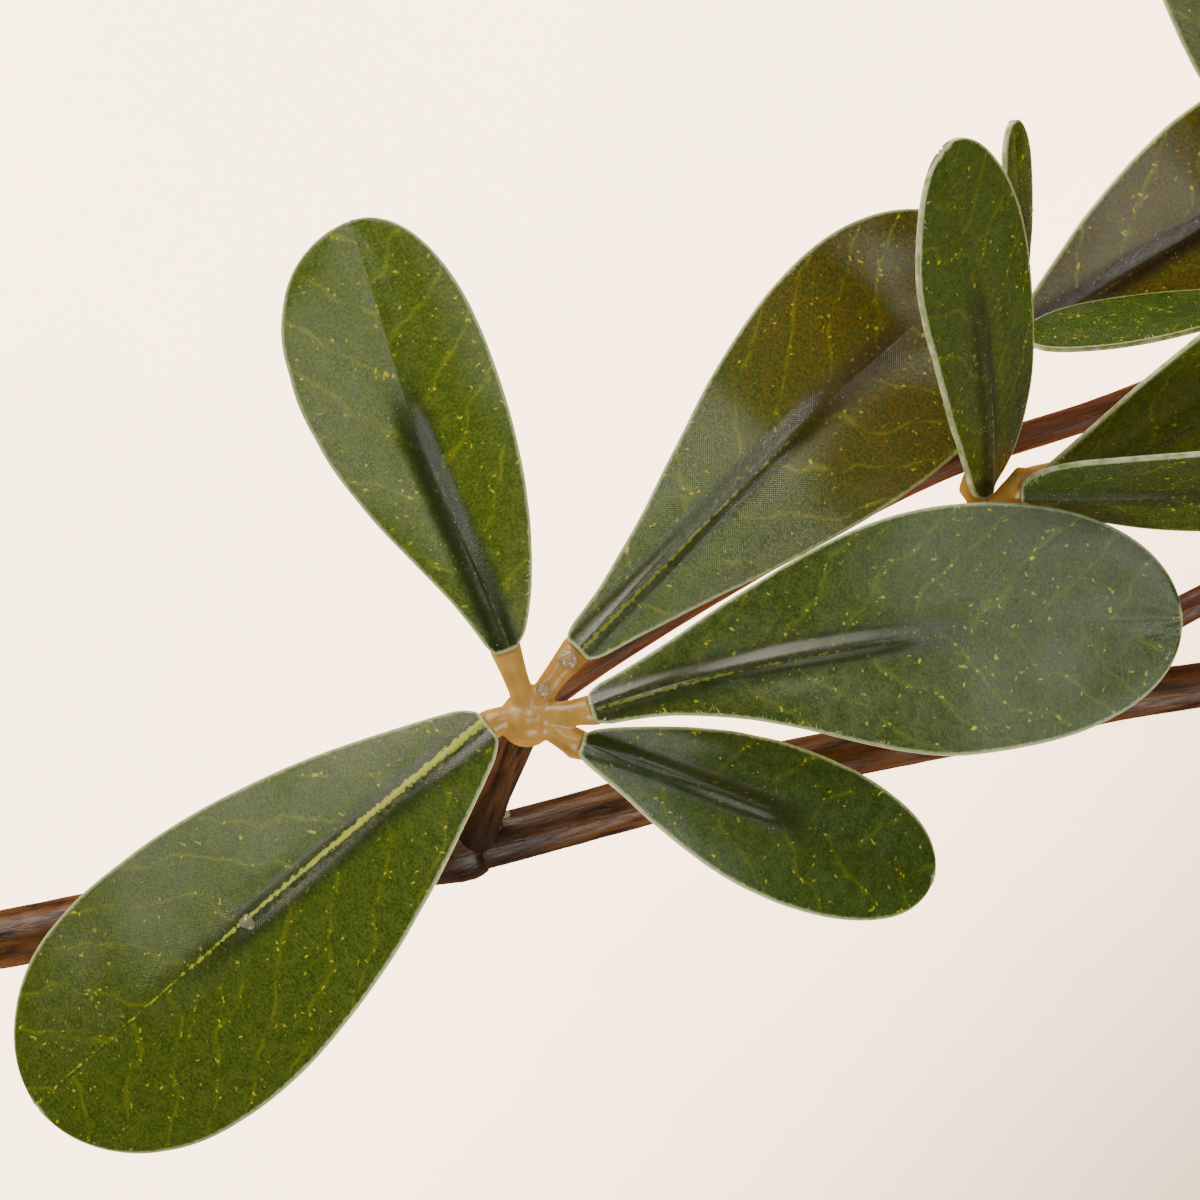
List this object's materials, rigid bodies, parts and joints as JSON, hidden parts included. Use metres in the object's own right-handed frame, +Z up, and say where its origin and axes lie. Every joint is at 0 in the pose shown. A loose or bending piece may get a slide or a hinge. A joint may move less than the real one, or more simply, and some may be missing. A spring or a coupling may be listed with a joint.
{
  "type": "artificial leafy branch",
  "caption": "Artificial branch laid down: brown wired plastic stems carry moulded stars, each with a whorl of rounded printed cloth leaves. It bears no fruit.",
  "frame": {"origin": "centre of the bounding box, on the table that the branch lies on", "axes": "+X from the stem's cut end towards its tip, +Y across towards the back branch, +Z up"},
  "size_m": [0.3402, 0.1644, 0.0671],
  "materials": {
    "leaf_cloth": "printed polyester cloth, satin, with mottled veins and a pale cut edge",
    "star_plastic": "moulded cream plastic, slightly translucent, soft gloss",
    "stem_plastic": "brown moulded plastic with long bark ridges, glossy where it is smooth",
    "wire": "galvanised, cut end"
  },
  "bodies": {
    "root": {"stem_lower": "stem_plastic", "stem_upper": "stem_plastic", "branch_back": "stem_plastic", "branch_right": "stem_plastic", "twig_front": "stem_plastic", "twig_right": "stem_plastic", "twig_back": "stem_plastic", "stem_wire": "wire", "branch_back_wire": "wire", "branch_right_wire": "wire", "star_front": "star_plastic", "star_right": "star_plastic", "star_back": "star_plastic", "star_back_tip": "star_plastic", "star_right_tip": "star_plastic", "star_main_tip": "star_plastic", "leaf_front_1": "leaf_cloth", "leaf_front_2": "leaf_cloth", "leaf_front_3": "leaf_cloth", "leaf_front_4": "leaf_cloth", "leaf_front_5": "leaf_cloth", "leaf_right_1": "leaf_cloth", "leaf_right_2": "leaf_cloth", "leaf_right_3": "leaf_cloth", "leaf_right_4": "leaf_cloth", "leaf_right_5": "leaf_cloth", "leaf_back_1": "leaf_cloth", "leaf_back_2": "leaf_cloth", "leaf_back_3": "leaf_cloth", "leaf_back_4": "leaf_cloth", "leaf_back_tip_1": "leaf_cloth", "leaf_back_tip_2": "leaf_cloth", "leaf_back_tip_3": "leaf_cloth", "leaf_back_tip_4": "leaf_cloth", "leaf_back_tip_5": "leaf_cloth", "leaf_right_tip_1": "leaf_cloth", "leaf_right_tip_2": "leaf_cloth", "leaf_right_tip_3": "leaf_cloth", "leaf_right_tip_4": "leaf_cloth", "leaf_right_tip_5": "leaf_cloth", "leaf_main_tip_1": "leaf_cloth", "leaf_main_tip_2": "leaf_cloth", "leaf_main_tip_3": "leaf_cloth", "leaf_main_tip_4": "leaf_cloth", "leaf_main_tip_5": "leaf_cloth"}
  },
  "joints": []
}
